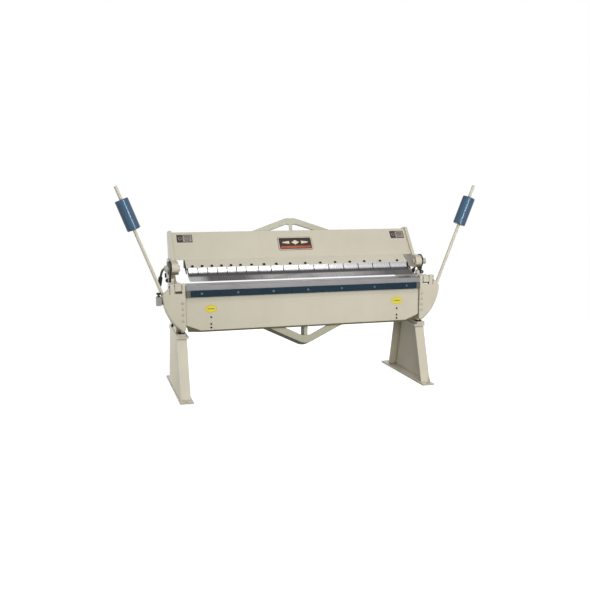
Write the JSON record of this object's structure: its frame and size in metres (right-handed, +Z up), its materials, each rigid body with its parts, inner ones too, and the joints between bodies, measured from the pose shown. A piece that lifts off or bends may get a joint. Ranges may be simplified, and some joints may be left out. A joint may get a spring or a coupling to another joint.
{
  "type": "sheet metal brake",
  "caption": "Free-standing box and pan brake: counterweighted bending apron on end hinges, a lifting upper leaf with removable clamping fingers, two legs.",
  "frame": {"origin": "on the floor, at the centre of the four floor anchor holes", "axes": "+X along the bend line to the operator's right, +Y from the operator to the back, +Z up"},
  "size_m": [2.9168, 0.878, 1.6174],
  "materials": {
    "cream_paint": "satin enamel",
    "machined_steel": "ground",
    "finger_steel": "ground and polished",
    "dark_blue_paint": "satin enamel",
    "blue_paint": "gloss enamel",
    "bright_screws": "zinc plated",
    "black_screws": "black oxide",
    "dark_casting": "dark enamel",
    "bronze": "oiled bronze",
    "black_grip": "matte",
    "badge": "printed plate, no lettering",
    "data_plate": "printed plate, no lettering",
    "yellow_label": "printed label, no lettering"
  },
  "bodies": {
    "stand": {"left_pedestal": "cream_paint", "right_pedestal": "cream_paint", "left_end_frame": "cream_paint", "right_end_frame": "cream_paint", "foot_bolts": "black_screws", "bed_bar": "machined_steel", "bed_web": "cream_paint", "bed_shelves": "cream_paint", "bed_ribs": "cream_paint", "bed_end_plates": "cream_paint", "bed_bolts": "black_screws", "hinge_bushes": "bronze", "setback_screw_brackets": "cream_paint"},
    "saddles": {"left_saddle": "cream_paint", "right_saddle": "cream_paint", "link_pins": "machined_steel"},
    "left_screw": {"left_setback_screw": "black_screws"},
    "right_screw": {"right_setback_screw": "black_screws"},
    "leaf": {"fingers_3_inch": "finger_steel", "fingers_4_inch": "finger_steel", "fingers_5_inch": "finger_steel", "fingers_6_inch": "finger_steel", "finger_beam": "cream_paint", "beam_end_plates": "dark_casting", "finger_screws": "black_screws", "leaf_panel": "cream_paint", "leaf_ribs": "cream_paint", "leaf_top_rail": "cream_paint", "left_leaf_end": "cream_paint", "right_leaf_end": "cream_paint", "upper_truss": "cream_paint", "name_badge": "badge", "data_plates": "data_plate"},
    "left_clamp": {"left_clamp_shaft": "machined_steel", "left_lever_grip": "black_grip"},
    "right_clamp": {"right_clamp_shaft": "machined_steel", "right_lever_grip": "black_grip"},
    "left_link": {"left_clamp_link": "dark_casting"},
    "right_link": {"right_clamp_link": "dark_casting"},
    "apron": {"apron_plate": "cream_paint", "plate_screws": "black_screws", "nose_bar": "machined_steel", "angle_bar": "dark_blue_paint", "angle_bar_screws": "bright_screws", "end_blocks": "machined_steel", "left_wing": "cream_paint", "right_wing": "cream_paint", "hinge_pins": "machined_steel", "backing_bars": "cream_paint", "wing_bolts": "cream_paint", "lower_truss": "cream_paint", "left_counterweight_rod": "cream_paint", "right_counterweight_rod": "cream_paint", "rod_sockets": "cream_paint", "bend_stop": "dark_casting", "oval_labels": "yellow_label"},
    "left_weight": {"left_counterweight": "blue_paint", "left_weight_screw": "black_screws"},
    "right_weight": {"right_counterweight": "blue_paint", "right_weight_screw": "black_screws"}
  },
  "joints": [
    {"name": "apron_hinge", "type": "hinge", "parent": "stand", "child": "apron", "pos_m": [0, -0.268, 0.873], "axis": [-1, 0, 0], "range_deg": [0, 135]},
    {"name": "setback_slide", "type": "slide", "parent": "stand", "child": "saddles", "axis": [0, 1, 0], "range_m": [0, 0.012]},
    {"name": "left_screw_turn", "type": "hinge", "parent": "saddles", "child": "left_screw", "pos_m": [-1.008, 0.332, 0.881], "axis": [0, 1, 0], "range_deg": [0, 1440]},
    {"name": "right_screw_turn", "type": "hinge", "parent": "saddles", "child": "right_screw", "pos_m": [1.008, 0.332, 0.881], "axis": [0, 1, 0], "range_deg": [0, 1440]},
    {"name": "leaf_lift", "type": "slide", "parent": "saddles", "child": "leaf", "axis": [0, 0.7071, 0.7071], "range_m": [-0.0309, 0.006]},
    {"name": "left_clamp_turn", "type": "hinge", "parent": "leaf", "child": "left_clamp", "pos_m": [-1.05, -0.099, 0.985], "axis": [1, 0, 0], "range_deg": [-10.2, 52]},
    {"name": "right_clamp_turn", "type": "hinge", "parent": "leaf", "child": "right_clamp", "pos_m": [1.05, -0.099, 0.985], "axis": [1, 0, 0], "range_deg": [-10.2, 52]},
    {"name": "left_link_swing", "type": "hinge", "parent": "saddles", "child": "left_link", "pos_m": [-1.052, -0.083, 0.8914], "axis": [1, 0, 0], "range_deg": [-3.7, 18.3]},
    {"name": "right_link_swing", "type": "hinge", "parent": "saddles", "child": "right_link", "pos_m": [1.052, -0.083, 0.8914], "axis": [1, 0, 0], "range_deg": [-3.7, 18.3]},
    {"name": "left_weight_slide", "type": "slide", "parent": "apron", "child": "left_weight", "axis": [-0.3669, 0, 0.9303], "range_m": [-0.25, 0.09]},
    {"name": "right_weight_slide", "type": "slide", "parent": "apron", "child": "right_weight", "axis": [0.3669, 0, 0.9303], "range_m": [-0.25, 0.09]}
  ],
  "couplings": [
    {"joint": "left_screw_turn", "follows": "setback_slide", "rad_per_m": 2094.4},
    {"joint": "right_screw_turn", "follows": "setback_slide", "rad_per_m": 2094.4},
    {"joint": "left_clamp_turn", "follows": "leaf_lift", "rad_per_m": -29.26},
    {"joint": "right_clamp_turn", "follows": "leaf_lift", "rad_per_m": -29.26},
    {"joint": "left_link_swing", "follows": "leaf_lift", "rad_per_m": -10.24},
    {"joint": "right_link_swing", "follows": "leaf_lift", "rad_per_m": -10.24}
  ]
}
